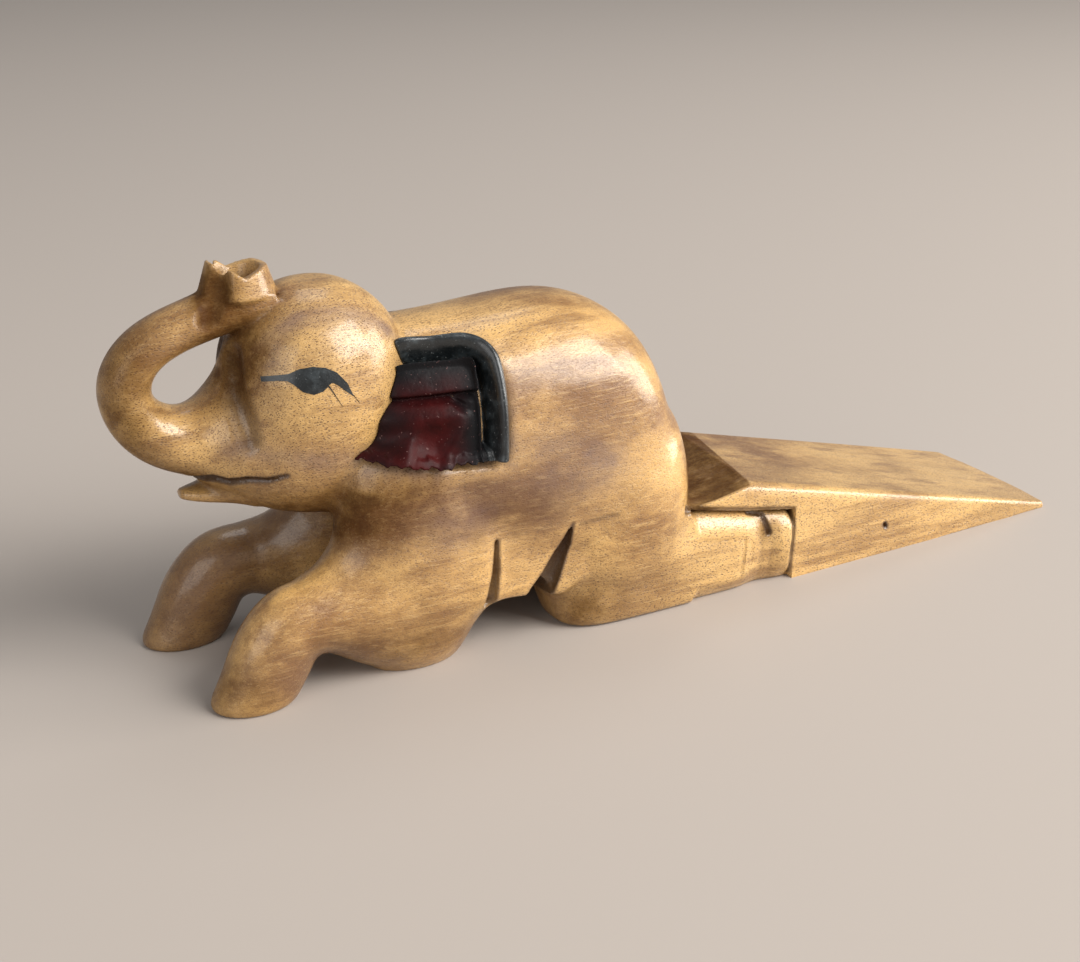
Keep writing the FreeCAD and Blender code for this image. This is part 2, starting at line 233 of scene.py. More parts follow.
def rope(place, path, radii):
    """Distance to a chain of round segments given as (x, s, z) points."""
    best = None
    for a, b, ra, rb in zip(path[:-1], path[1:], radii[:-1], radii[1:]):
        a = np.array(a, np.float32)
        run = np.array(b, np.float32) - a
        t = (place.x - a[0]) * run[0] + (place.s - a[1]) * run[1] + (place.z - a[2]) * run[2]
        t = np.clip(t / max(float(run @ run), 1e-6), 0.0, 1.0)
        gap = np.sqrt((place.x - a[0] - t * run[0]) ** 2 + (place.s - a[1] - t * run[1]) ** 2
                      + (place.z - a[2] - t * run[2]) ** 2)
        gap = gap - (ra + (rb - ra) * t)
        best = gap if best is None else np.minimum(best, gap)
    return best


def round_path(path, margin):
    """The part of the body lattice that holds a path of (x, s, z) points on both sides."""
    points = np.array(path, float)
    reach = points[:, 1].max() + margin
    y = middle_y(points[:, 0])
    low = [points[:, 0].min() - margin, y.min() - reach, points[:, 2].min() - margin]
    high = [points[:, 0].max() + margin, y.max() + reach, points[:, 2].max() + margin]
    return BODY.part(low, high)


def on_skin(field, x, z, side, far=45.0):
    """Points of the form's side at given x and z, found from outside."""
    y = middle_y(x) + side * far
    for _ in range(int(far / 0.4)):
        outside = sample(field, BODY, np.stack([x, y, z], axis=1)) > 0.1
        y = y - side * np.where(outside, 0.4, 0.0)
    points = np.stack([x, y, z], axis=1)
    for _ in range(4):
        value = sample(field, BODY, points)
        slope = slope_of(field, BODY, points)[:, 1]
        slope = np.where(np.abs(slope) < 0.2, side * 0.2, slope)
        points[:, 1] -= np.clip(value / slope, -0.4, 0.4)
    return points


def side_path(field, outline, sunk=0.0, steps=6):
    """A (x, s, z) path on the left side that follows side-view points, sunk below the skin."""
    x, z = [], []
    for (xa, za), (xb, zb) in zip(outline[:-1], outline[1:]):
        for k in range(steps):
            x.append(xa + (xb - xa) * k / steps)
            z.append(za + (zb - za) * k / steps)
    x.append(outline[-1][0])
    z.append(outline[-1][1])
    points = on_skin(field, np.array(x), np.array(z), -1)
    points = points - sunk * unit(slope_of(field, BODY, points))
    return [(px, float(middle_y(px)) - py, pz) for px, py, pz in points]


def cut_groove(field, path, radii, soft):
    """Carve a groove along a path of (x, s, z) points, on both sides."""
    cut, place = round_path(path, max(radii) + soft + 2.0)
    field[cut] = carve(field[cut], rope(place, path, radii), soft)


# ---- the carved form -------------------------------------------------------------------------------
def merge_members():
    """The wooden members joined with the fillets that the carver left."""
    band = 10.0
    torso = distance_to("torso", band)
    for node in ("hind_leg_left", "hind_leg_right"):
        torso = join(torso, distance_to(node, band), 10.0)
    for node in ("foreleg_left", "foreleg_right"):
        torso = join(torso, distance_to(node, band), 9.0)
    head = distance_to("head", band)
    trunk = distance_to("trunk", band)
    fillet = np.interp(BODY.z, [HEAD[2] + 12.0, HEAD[2] + 20.0], [10.0, 1.2]).astype(np.float32)
    head = join(head, trunk, fillet)
    head = join(head, distance_to("lower_jaw", 4.0), 2.5)
    add_elbows(torso)
    shoulder = blur(torso, 12)
    head = blur(head, 1)
    shape_trunk_tip(head)
    animal = join(shoulder, head, 2.5)
    wedge = bevel_ramp(distance_to("wedge", 4.0))
    for node in ("hind_foot_left", "hind_foot_right"):
        wedge = join(wedge, distance_to(node, 4.0), 1.0)
    field = join(animal, wedge, 1.6)
    round_shins(field)
    return field, shoulder, head


def bevel_ramp(wedge):
    """Knock off the ramp's long top edges, more at the ridge than at the thin end."""
    from_tip = np.maximum(WEDGE_HIGH[0] - BODY.x, 0.0)
    top = RAMP_TIP + RAMP_SLOPE * from_tip
    half_width = (WEDGE_HIGH[1] - WEDGE_LOW[1]) / 2.0
    depth = 0.5 + 0.012 * from_tip
    corner = 0.7 * (np.abs(BODY.y - MIDDLE_START_Y) - half_width + BODY.z - top) + depth
    return -join(-wedge, -corner.astype(np.float32), 1.5)


def leg_top(x):
    """Height of the knife-cut line where a hind leg meets the side of the ramp."""
    return np.interp(x, LEG_TOP_X, LEG_TOP_Z)


def round_shins(field):
    """Round the hind legs' outer sides below the knife-cut line, with a waisted ankle."""
    for side in (-1, 1):
        y_low, y_high = sorted((side * 34.0, side * 18.0))
        low = [LEG_TOP_X[0] - 6.0, y_low - 4.0, -3.0]
        high = [FOOT_HIGH[0] + 0.2, y_high + 4.0, 34.0]
        cut, place = BODY.part(low, high)
        line = leg_top(place.x)
        foot = FOOT_LOW[0]
        outer = np.interp(place.x, [foot - 30.0, foot - 3.0, foot + 1.5, foot + 4.0, foot + 7.0, foot + 10.5,
                                    foot + 13.5, foot + 16.0, foot + 18.0],
                          [28.8, 28.2, 27.7, 26.8, 26.2, 26.6, 27.8, 28.2, 27.8])
        middle = 12.0
        across = np.maximum(place.s - 15.0, 0.0) / (outer - 15.0)
        up = np.abs(place.z - middle) / np.where(place.z > middle, line - middle + 1.0, middle + 2.5)
        gap = ((across ** 2.5 + up ** 2.5) ** 0.4 - 1.0) * 13.0
        gap = gap - 6.0 * (1.0 - ramp(place.x, LEG_TOP_X[0] - 4.0, LEG_TOP_X[0] + 5.0))
        tool = np.minimum(np.minimum(gap, line - place.z), place.s - 16.0)
        field[cut] = np.maximum(field[cut], tool).astype(np.float32)


def add_elbows(torso):
    """The round elbow under each shoulder, a flat lens seen from the side."""
    x, z = TORSO[0] - 35.2, 24.0
    for side in (-1, 1):
        y = middle_y(x) + side * 17.0
        cut, place = BODY.part([x - 30.0, y - 20.0, -5.0], [x + 30.0, y + 20.0, 55.0])
        across = np.sqrt(((place.x - x) / 24.3) ** 2 + ((place.y - y) / 13.6) ** 2
                         + ((place.z - z) / 24.3) ** 2)
        lens = (across - 1.0) * across * 13.6 / np.maximum(across ** 2, 0.2)
        torso[cut] = join(torso[cut], lens.astype(np.float32), 6.0)


def shape_trunk_tip(head):
    """The flared open tip: a cup with a narrow front lobe, a round rear lobe and a V on each side."""
    x, z = HEAD[0] - 15.8, HEAD[2] + 24.4
    cut, place = BODY.part([x - 16.0, HEAD[1] - 15.0, z - 3.0], [x + 16.0, HEAD[1] + 15.0, z + 18.0])
    t = place.y - middle_y(place.x)
    ahead = x - place.x
    rise = place.z - z
    flare = np.where(rise > 5.6, 0.32 * (13.5 - rise), 2.5 - 1.1 * (5.6 - rise))
    rim = 10.6 + np.where(ahead > 0.0, 0.74 * ahead, -0.36 * ahead)
    rim = np.minimum(rim, 13.4 + 0.13 * ahead)
    around = np.hypot(ahead / (7.4 + flare), t / (7.1 + 0.75 * flare))
    cup = np.maximum((around - 1.0) * 8.0, rise - rim)
    depth = np.maximum(13.5 - rise, 0.0)
    within = np.hypot(ahead / (6.3 - 0.3 * depth), t / (6.1 - 0.3 * depth))
    bore = np.maximum((within - 1.0) * 6.0, 3.0 - rise)
    above = np.maximum(head[cut], rise - 6.0 + 2.0 * np.minimum(ahead + 9.0, 0.0))
    tip = carve(join(above, cup, 1.0), bore, 0.5)
    gouge = rope(place, [(x - 10.4, 8.8, z + 1.5), (x - 8.0, 6.9, z + 9.0), (x - 7.4, 6.4, z + 18.0)],
                 [3.2, 4.0, 4.2])
    head[cut] = carve(tip, gouge, 1.2)


def grooves(field):
    """The knife-cut lines of the carving: (path, radii, softness, darkness of the painted shade in them)."""
    hx, hz = HEAD[0], HEAD[2]
    tx, tz = TORSO[0], TORSO[2]
    foot = FOOT_LOW[0]
    lines = [
        ([(hx - 33.4, hz - 16.2), (hx - 28.5, hz - 14.5), (hx - 25.5, hz - 15.3), (hx - 21.5, hz - 14.2),
          (hx - 17.5, hz - 14.3), (hx - 13.2, hz - 13.0)], 0.1, (1.5, 0.35), 0.3, 1.0),
        ([(hx - 20.4, hz + 15.0), (hx - 21.8, hz + 6.0), (hx - 21.4, hz - 3.5)], -1.2, (3.2, 2.8), 2.2, 0.55),
        ([(tx - 14.6, tz - 15.4), (tx - 15.2, tz - 24.0), (tx - 16.8, tz - 33.5)], 0.3, (0.6, 1.9), 0.4, 0.7),
        ([(tx + 8.3, tz - 14.8), (tx + 6.4, tz - 21.0), (tx + 2.2, tz - 29.5), (tx - 1.6, tz - 36.0)],
         0.6, (0.3, 4.2), 0.3, 1.0),
        ([(tx + 11.0, tz - 15.4), (tx + 21.5, tz - 14.2)], -0.1, (0.25, 0.25), 0.1, 0.35),
        ([(x, z + 0.4) for x, z in zip(LEG_TOP_X, LEG_TOP_Z)], 0.2, (1.3, 0.6), 0.3, 0.6),
        ([(foot + 3.0, 23.6), (foot + 8.5, 22.0), (foot + 9.5, 17.0)], 0.1, (0.4, 0.9), 0.2, 0.9),
        ([(foot + 54.0, 10.0), (foot + 54.5, 9.0)], 0.2, (0.6, 0.6), 0.2, 1.0),
        ([(foot + 18.0, 22.4), (foot + 18.2, 14.0), (foot + 17.6, 2.0)], 0.0, (0.5, 0.4), 0.3, 0.7),
    ]
    cuts = []
    for outline, sunk, (first, last), soft, tint in lines:
        path = side_path(field, outline, sunk)
        cuts.append((path, list(np.linspace(first, last, len(path))), soft, tint))
    return cuts


def painted_groove_shade(cuts, points):
    """Mask of the painted shade that darkens the knife-cut lines."""
    place = SimpleNamespace(x=points[:, 0], z=points[:, 2], s=np.abs(points[:, 1] - middle_y(points[:, 0])))
    mark = np.zeros(len(points))
    for path, radii, soft, tint in cuts:
        gap = rope(place, path, radii)
        mark = np.maximum(mark, tint * (1.0 - ramp(gap, 0.05, 0.7 + soft)))
    return mark


# ---- meshes ------------------------------------------------------------------------------------------
def surface_of(field, lattice):
    """Quads of a field's surface, as points in millimetres and faces."""
    grid = openvdb.FloatGrid(2.0)
    grid.transform = openvdb.createLinearTransform(voxelSize=lattice.voxel)
    grid.copyFromArray(field, ijk=tuple(int(i) for i in lattice.first), tolerance=0.0)
    points, quads = grid.convertToQuads(0.0)
    return settle(field, lattice, points.astype(float)), quads.astype(int)[:, ::-1]


def new_mesh(name, points, faces):
    mesh = bpy.data.meshes.new(name)
    mesh.vertices.add(len(points))
    mesh.vertices.foreach_set("co", (points / MM).astype(np.float32).ravel())
    corners_each = faces.shape[1]
    mesh.loops.add(faces.size)
    mesh.loops.foreach_set("vertex_index", faces.astype(np.int32).ravel())
    mesh.polygons.add(len(faces))
    mesh.polygons.foreach_set("loop_start", np.arange(0, faces.size, corners_each, dtype=np.int32))
    mesh.update(calc_edges=True)
    obj = bpy.data.objects.new(name, mesh)
    bpy.context.scene.collection.objects.link(obj)
    return obj


def points_of(mesh):
    points = np.empty(len(mesh.vertices) * 3, np.float32)
    mesh.vertices.foreach_get("co", points)
    return points.reshape(-1, 3).astype(float) * MM


def side_cutter(name, outline, y_from, y_to):
    """A closed prism over a side-view outline of (x, z) points."""
    count = len(outline)
    points = [(x, y_from, z) for x, z in outline] + [(x, y_to, z) for x, z in outline]
    faces = [list(range(count)), list(range(2 * count - 1, count - 1, -1))]
    for i in range(count):
        j = (i + 1) % count
        faces.append([i, i + count, j + count, j])
    mesh = bpy.data.meshes.new(name)
    mesh.from_pydata([tuple(c / MM for c in p) for p in points], [], faces)
    obj = bpy.data.objects.new(name, mesh)
    bpy.context.scene.collection.objects.link(obj)
    return obj


def boolean(obj, cutter, operation):
    """A new mesh: obj cut by the cutter."""
    modifier = obj.modifiers.new("cut", "BOOLEAN")
    modifier.operation = operation
    modifier.solver = "MANIFOLD"
    modifier.object = cutter
    depsgraph = bpy.context.evaluated_depsgraph_get()
    mesh = bpy.data.meshes.new_from_object(obj.evaluated_get(depsgraph))
    obj.modifiers.clear()
    return mesh


def split_off(rest, name, cutter):
    """Cut one piece from the rest of the carving."""
    piece = bpy.data.objects.new(name, boolean(rest, cutter, "INTERSECT"))
    bpy.context.scene.collection.objects.link(piece)
    rest.data = boolean(rest, cutter, "DIFFERENCE")
    bpy.data.objects.remove(cutter)
    return piece


def shade(obj, field, lattice):
    """Smooth shading from the form's own slope, flat on the cut faces."""
    mesh = obj.data
    points = points_of(mesh)
    uncut = np.abs(sample(field, lattice, points)) < SKIN
    normals = unit(slope_of(field, lattice, points))
    loop_vertex = np.empty(len(mesh.loops), np.int32)
    mesh.loops.foreach_get("vertex_index", loop_vertex)
    starts = np.empty(len(mesh.polygons), np.int32)
    totals = np.empty(len(mesh.polygons), np.int32)
    mesh.polygons.foreach_get("loop_start", starts)
    mesh.polygons.foreach_get("loop_total", totals)
    flat = np.empty(len(mesh.polygons) * 3, np.float32)
    mesh.polygons.foreach_get("normal", flat)
    flat = flat.reshape(-1, 3)
    loop_face = np.repeat(np.arange(len(totals)), totals)
    skin_face = np.minimum.reduceat(uncut[loop_vertex].astype(int), starts) > 0
    facing = (normals[loop_vertex] * flat[loop_face]).sum(axis=1)
    smooth = skin_face[loop_face] & (facing > 0.3)
    split = np.where(smooth[:, None], normals[loop_vertex], flat[loop_face])
    mesh.shade_smooth()
    mesh.normals_split_custom_set(split.astype(np.float32))


def give(obj, name, values):
    """Store one number a vertex for the materials."""
    attribute = obj.data.attributes.new(name, "FLOAT", "POINT")
    attribute.data.foreach_set("value", np.clip(values, 0.0, 1.0).astype(np.float32))


def blob(points, place, size):
    """A soft round mask about a (x, s, z) place, with a size along each axis."""
    s = np.abs(points[:, 1] - middle_y(points[:, 0]))
    own = np.stack([points[:, 0], s, points[:, 2]], axis=1)
    return np.exp(-(((own - np.array(place)) / np.array(size)) ** 2).sum(axis=1))


def stains(points, marks):
    """Sum of soft round masks, each given as (strength, place, size)."""
    total = np.zeros(len(points))
    for strength, place, size in marks:
        total += strength * blob(points, place, size)
    return total


def ramp(value, start, end):
    """Smooth step from 0 at start to 1 at end."""
    t = np.clip((value - start) / (end - start), 0.0, 1.0)
    return t * t * (3.0 - 2.0 * t)


# ---- ears -----------------------------------------------------------------------------------------------
def ear_edges(x, s, z, fall):
    """Distances inwards from the ear's top and rear edge, and up from its chipped lower edge."""
    back = EAR_HIGH[0] - x
    u = back - 1.4 + EAR_SLANT * (z - EAR_LOW[2])
    top_z = EAR_HIGH[2] - 1.6 + 0.27 * (back - 13.0)
    v = 0.5 * (top_z - z) + 0.85 * (s - 13.6) - fall
    corner = EAR_CORNER - np.hypot(np.maximum(EAR_CORNER - u, 0.0), np.maximum(EAR_CORNER - v, 0.0))
    edge = np.where((u < EAR_CORNER) & (v < EAR_CORNER), corner, np.minimum(u, v))
    chips = 0.3 * np.sin(1.9 * x) + 0.25 * np.sin(0.83 * x + 1.0) + 0.15 * np.sin(4.3 * x)
    lower = z - EAR_LOW[2] - 1.9 - 0.2 * np.maximum(back - 20.0, 0.0) - chips * ramp(back, 6.0, 12.0)
    return edge, lower


def ear_height(x, s, z, fall):
    """How far the ear's carved relief stands off the shoulder."""
    edge, lower = ear_edges(x, s, z, fall)
    rim = 3.0 * np.sqrt(np.clip(1.0 - ((edge - 2.2) / 2.5) ** 2, 0.0, 1.0))
    fold_z = EAR_HIGH[2] - 14.2
    pit_x = EAR_HIGH[0] - 12.2
    fold = np.exp(-((z - fold_z) / 0.9) ** 2) * ramp(x, pit_x - 24.0, pit_x - 8.0)
    pit = np.exp(-((x - pit_x) / 1.7) ** 2 - ((z - fold_z + 1.6 + 0.5 * (x - pit_x)) / 1.3) ** 2)
    bulge = np.exp(-((z - fold_z + 4.5) / 3.0) ** 2) * ramp(edge, 8.0, 13.0)
    shelf = ramp(z, fold_z - 0.5, fold_z + 1.5)
    field = 1.9 + 0.6 * shelf - 1.5 * fold - 2.2 * pit + 1.0 * bulge
    for ridge_x in (-15.5, -28.0):
        across = 0.85 * (x - EAR_HIGH[0] - ridge_x) - 0.5 * (z - EAR_LOW[2] - 7.0)
        field = field + 0.8 * np.exp(-(across / 2.2) ** 2) * ramp(fold_z - z, 4.0, 10.0)
    field = field + 0.7 * np.exp(-((edge - 7.3) / 0.5) ** 2)
    field = field * ramp(edge, 5.9, 6.6)
    height = np.maximum(rim, field)
    closed = 2.2 * (1.0 - ramp(lower, 2.0, 4.2)) * ramp(edge, 1.0, 3.0)
    return np.maximum(height, closed)


def make_ear(side, shoulder, head):
    """The ear's red field and black rim on one side; side is -1 for the left."""
    drop, fall = (EAR_DROP, EAR_FALL) if side > 0 else (0.0, 0.0)
    low = np.array([HEAD[0] - 2.0, 0.0, EAR_LOW[2] - 3.0 - drop])
    high = np.array([EAR_HIGH[0] + 3.0, 0.0, EAR_HIGH[2] + 3.0 - drop])
    reach = side * 40.0
    low[1], high[1] = min(side * 2.0, reach), max(side * 2.0, reach)
    place = Lattice(low, high, VOXEL / 2.0)
    points = place.points()
    stand_off = sample(shoulder, BODY, points).reshape(place.shape)
    cheek = sample(head, BODY, points).reshape(place.shape)
    edge, lower = ear_edges(place.x, place.s, place.z + drop, fall)
    height = ear_height(place.x, place.s, place.z + drop, fall)
    solid = np.maximum(stand_off - height, -np.minimum(edge, lower))
    solid = np.maximum(solid, -stand_off - 0.8)
    solid = blur(np.maximum(solid, 0.1 - cheek).astype(np.float32), 1)
    name = "left" if side < 0 else "right"
    pieces = []
    for part, wall in (("ear_rim_", edge - EAR_GROOVE), ("ear_field_", EAR_GROOVE - edge)):
        shape = np.maximum(solid, wall).astype(np.float32)
        mesh_points, faces = surface_of(shape, place)
        piece = new_mesh("carved_" + part + name, mesh_points, faces)
        shade(piece, shape, place)
        x = mesh_points[:, 0]
        s = np.abs(mesh_points[:, 1] - middle_y(x))
        z = mesh_points[:, 2] + drop
        edge_at, lower_at = ear_edges(x, s, z, fall)
        black = 1.0 - ramp(edge_at, 8.0, 17.0)
        black = np.maximum(black, 0.9 * ramp(z, EAR_HIGH[2] - 15.0, EAR_HIGH[2] - 6.0))
        black = np.maximum(black, 0.8 * ramp(EAR_HIGH[0] - x, 22.0, 33.0) * ramp(z, 58.0, 74.0))
        black = np.maximum(black, 0.85 * (1.0 - ramp(lower_at, 0.4, 2.6)) * ramp(x, -80.0, -60.0))
        give(piece, "black", black)
        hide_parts(part + name)
        pieces.append(piece)
    return pieces


def ear_shadow(points):
    """Mask of the lacquer that has bled into the wood round the ears."""
    t = points[:, 1] - middle_y(points[:, 0])
    s = np.abs(t)
    right = np.where(t > 0.0, 1.0, 0.0)
    edge, lower = ear_edges(points[:, 0], s, points[:, 2] + EAR_DROP * right, EAR_FALL * right)
    return np.exp(-(np.minimum(edge, lower + 0.5) / 3.0) ** 2) * ramp(s, 10.0, 14.0)


def ramp_hollow(points):
    """Mask of the shallow scoop in front of the ramp's ridge."""
    t = points[:, 1] - MIDDLE_START_Y
    half_width = (WEDGE_HIGH[1] - WEDGE_LOW[1]) / 2.0
    ridge_x = FOOT_LOW[0] + 2.5 + RIDGE_SKEW * (t + half_width) / (2.0 * half_width)
    top = ramp(points[:, 2], 27.5, 29.0) * (1.0 - ramp(np.abs(t), half_width - 2.5, half_width - 1.0))
    return top * ramp(ridge_x - points[:, 0], 0.0, 1.5) * ramp(points[:, 0], 3.0, 6.0)


# ---- eyes -----------------------------------------------------------------------------------------------
def make_eye(side, field):
    """Painted eye: a thin film laid on the head, with its lash line and two scratched strokes."""
    outline = [(-16.6, 12.6), (-13.5, 13.2), (-11.0, 13.6), (-8.5, 14.7), (-5.4, 15.1), (-2.4, 14.6),
               (0.2, 13.2), (2.6, 10.2), (4.0, 6.6), (1.6, 8.6), (0.2, 10.0), (-1.2, 10.9),
               (-2.2, 10.3), (-3.6, 9.0), (-6.0, 8.4), (-8.4, 9.2), (-10.2, 11.0), (-11.4, 11.9),
               (-13.5, 11.9), (-16.6, 11.4)]
    strokes = [[(-3.7, 12.4), (-3.2, 12.4), (1.0, 4.3)], [(-1.0, 13.6), (-0.4, 13.6), (5.6, 4.5)]]
    pieces = []
    for shape in [outline] + strokes:
        pieces.append(film(shape, side, field))
    points = []
    faces = []
    for some_points, some_faces in pieces:
        faces += [[i + len(points) for i in face] for face in some_faces]
        points += some_points
    name = "painted_eye_left" if side < 0 else "painted_eye_right"
    mesh = bpy.data.meshes.new(name)
    mesh.from_pydata([tuple(c / MM for c in p) for p in points], [], faces)
    obj = bpy.data.objects.new(name, mesh)
    bpy.context.scene.collection.objects.link(obj)
    mesh.shade_smooth()
    mesh.set_sharp_from_angle(angle=math.radians(50.0))
    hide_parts("eye_left" if side < 0 else "eye_right")
    return obj


def film(shape, side, field):
    """A closed film of paint over a side-view outline about the head's centre."""
    border = []
    for a, b in zip(shape, shape[1:] + shape[:1]):
        steps = max(1, int(math.dist(a, b) / 0.4))
        for k in range(steps):
            x = a[0] + (b[0] - a[0]) * k / steps
            z = a[1] + (b[1] - a[1]) * k / steps
            border.append(Vector((x, z)))
    count = len(border)
    low = np.min([tuple(p) for p in border], axis=0)
    high = np.max([tuple(p) for p in border], axis=0)
    inner = []
    for x in np.arange(low[0], high[0], 0.6):
        for z in np.arange(low[1], high[1], 0.6):
            inner.append(Vector((float(x), float(z))))
    edges = [(i, (i + 1) % count) for i in range(count)]
    flat, _, faces, _, _, _ = delaunay_2d_cdt(border + inner, edges, [list(range(count))], 1, 1e-4)
    x = np.array([HEAD[0] + p[0] for p in flat])
    z = np.array([HEAD[2] + p[1] for p in flat])
    on_head = on_skin(field, x, z, side)
    out = unit(slope_of(field, BODY, on_head))
    top = on_head + PAINT * out
    bottom = on_head - PAINT * 2.0 * out
    number = len(flat)
    points = [tuple(p) for p in top] + [tuple(p) for p in bottom]
    used = {}
    solid = []
    for face in faces:
        face = list(face)
        if side > 0:
            face = face[::-1]
        solid.append(face)
        solid.append([i + number for i in reversed(face)])
        for i, j in zip(face, face[1:] + face[:1]):
            used[(i, j)] = True
    for i, j in list(used):
        if (j, i) not in used:
            solid.append([j, i, i + number, j + number])
    return points, solid


# ---- wooden pieces --------------------------------------------------------------------------------------
def cut_plan():
    """Side-view outlines that part the carving: (piece, outline, lowest y, highest y)."""
    hx, hz = HEAD[0], HEAD[2]
    ankle, foot_end, foot_top = FOOT_LOW[0] + 0.5, FOOT_HIGH[0], FOOT_HIGH[2] + 0.4
    far = 60.0
    chest = middle_y(hx)
    plan = [
        ("trunk", [(-160.0, hz - 17.0), (hx - 33.0, hz - 16.4), (hx - 23.5, hz - 15.2),
                   (hx - 23.5, hz + 6.0), (hx - 21.4, hz + 16.4), (hx - 14.5, hz + 22.0),
                   (hx - 9.5, hz + 25.5), (hx - 4.5, hz + 31.0), (hx - 2.5, hz + 52.0),
                   (-160.0, hz + 52.0)], -far, far),
        ("lower_jaw", [(-160.0, hz - 33.0), (hx - 19.0, hz - 33.0), (hx - 14.5, hz - 23.0),
                       (hx - 15.0, hz - 13.2), (hx - 23.5, hz - 15.2), (hx - 33.0, hz - 16.4),
                       (-160.0, hz - 17.0)], -far, far),
        ("head", [(-160.0, hz - 34.0), (hx + 0.6, hz - 34.0), (hx + 9.0, hz - 16.6), (hx + 16.6, hz - 1.6),
                  (hx + 23.6, hz + 10.4), (hx + 26.0, hz + 18.4), (hx + 25.5, hz + 52.0),
                  (-160.0, hz + 52.0)], -far, far),
    ]
    foreleg = [(-160.0, -9.0), (TORSO[0] - 13.3, -9.0), (TORSO[0] - 14.3, 34.6), (TORSO[0] - 19.0, 46.0),
               (TORSO[0] - 32.0, 56.5), (TORSO[0] - 43.0, 56.5), (hx + 2.6, 45.0), (hx - 2.4, 39.6),
               (-160.0, 39.6)]
    hind_leg = [(TORSO[0] + 2.4, -9.0), (ankle, -9.0), (ankle, foot_top), (FOOT_LOW[0] - 21.8, 29.3),
                (FOOT_LOW[0] - 28.0, 42.0), (FOOT_LOW[0] - 38.0, 50.0), (TORSO[0] + 17.0, 46.0),
                (TORSO[0] + 7.9, 35.6), (TORSO[0] + 3.9, 20.0)]
    hind_foot = [(ankle, -9.0), (foot_end, -9.0), (foot_end, foot_top), (ankle, foot_top)]
    for part, outline, middle, half in (("foreleg", foreleg, chest, 6.9),
                                        ("hind_foot", hind_foot, MIDDLE_START_Y, 8.0),
                                        ("hind_leg", hind_leg, MIDDLE_START_Y, 8.0)):
        plan.append((part + "_left", outline, -far, middle - half))
        plan.append((part + "_right", outline, middle + half, far))
    plan.append(("wedge", [(-5.7, -9.0), (far * 3, -9.0), (far * 3, far), (7.5, far), (6.0, 40.0),
                           (4.5, 24.0), (-5.7, 14.0)], -far, far))
    return plan


def make_wood(field, cuts):
    """The carving as one piece for each CAD member."""
    points, faces = surface_of(field, BODY)
    rest = new_mesh("carved_torso", points, faces)
    pieces = []
    for node, outline, y_from, y_to in cut_plan():
        cutter = side_cutter("cutter", outline, y_from, y_to)
        piece = split_off(rest, "carved_" + node, cutter)
        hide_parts(node)
        pieces.append(piece)
    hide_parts("torso")
    pieces.append(rest)
    smoothed = blur(field.copy(), 10)
    for piece in pieces:
        shade(piece, field, BODY)
        give_wood_masks(piece, smoothed, cuts)
    return pieces


def give_wood_masks(piece, smoothed, cuts):
    """Store the wood's masks: patina and painted shade in hollows, crests, smoke, dark patches, painted shade
    in grooves and on far legs.
    """
    points = points_of(piece.data)
    hx, hz = HEAD[0], HEAD[2]
    tx, tz = TORSO[0], TORSO[2]
    dip = -sample(smoothed, BODY, points)
    # Hollows get the wood's patina together with painted shade: the deeper the form dips in, the darker.
    give(piece, "hollow_patina_and_shade", (dip + 0.02) / 0.6)
    give(piece, "crest", (-dip - 0.25) / 1.5)
    smoke = stains(points, [
        (0.8, (tx + 6.0, 31.0, tz + 2.0), (20.0, 14.0, 13.0)),
        (0.9, (tx - 26.0, 26.0, tz - 6.0), (14.0, 14.0, 7.0)),
        (0.7, (tx + 17.0, 31.0, tz + 2.0), (7.0, 14.0, 5.0)),
        (0.5, (hx - 18.0, 24.0, 9.0), (7.0, 10.0, 9.0)),
    ])
    give(piece, "smoke", smoke + 0.8 * ear_shadow(points))
    # Darker patches: the wood's own dark patina and a knot on the ramp, and painted shade on the trunk, under
    # the chin and neck, beside the ear and low on the legs and belly.
    dark = stains(points, [
        (1.7, (hx - 19.0, 5.0, hz + 16.0), (9.0, 12.0, 13.0)),
        (1.3, (hx - 23.5, 5.0, hz + 31.0), (5.0, 8.0, 9.0)),
        (0.8, (hx - 46.0, 5.0, hz + 5.0), (10.0, 12.0, 26.0)),
        (0.8, (hx - 32.0, 5.0, hz - 15.0), (16.0, 10.0, 6.0)),
        (1.8, (hx + 3.0, 16.0, hz - 26.0), (20.0, 18.0, 8.0)),
        (0.8, (hx + 21.0, 24.0, hz - 6.0), (8.0, 12.0, 22.0)),
        (0.7, (hx - 26.0, 22.0, 4.0), (16.0, 14.0, 12.0)),
        (0.6, (hx + 16.0, 26.0, 10.0), (26.0, 14.0, 9.0)),
        (0.9, (tx - 12.0, 28.0, tz - 6.0), (22.0, 12.0, 9.0)),
        (0.8, (tx + 12.0, 28.0, 6.0), (16.0, 12.0, 10.0)),
        (1.5, (FOOT_LOW[0] + 8.0, 27.0, 20.0), (3.0, 3.0, 5.0)),
    ])
    # The ramp's scoop in front of the ridge is darkened both as patina and as painted shade.
    give(piece, "dark", dark + 1.5 * ramp_hollow(points))
    # Painted shade darkens the knife-cut grooves.
    give(piece, "knife", painted_groove_shade(cuts, points))
    # Painted shade on the far forelegs, which the head and near legs keep from the light.
    middle = middle_y(points[:, 0])
    far_side = ramp(points[:, 1], middle + 4.0, middle + 12.0)
    far_leg_shade = far_side * ramp(-points[:, 0], 70.0, 84.0) * ramp(42.0 - points[:, 2], 0.0, 8.0)
    give(piece, "far_leg_shade", far_leg_shade)


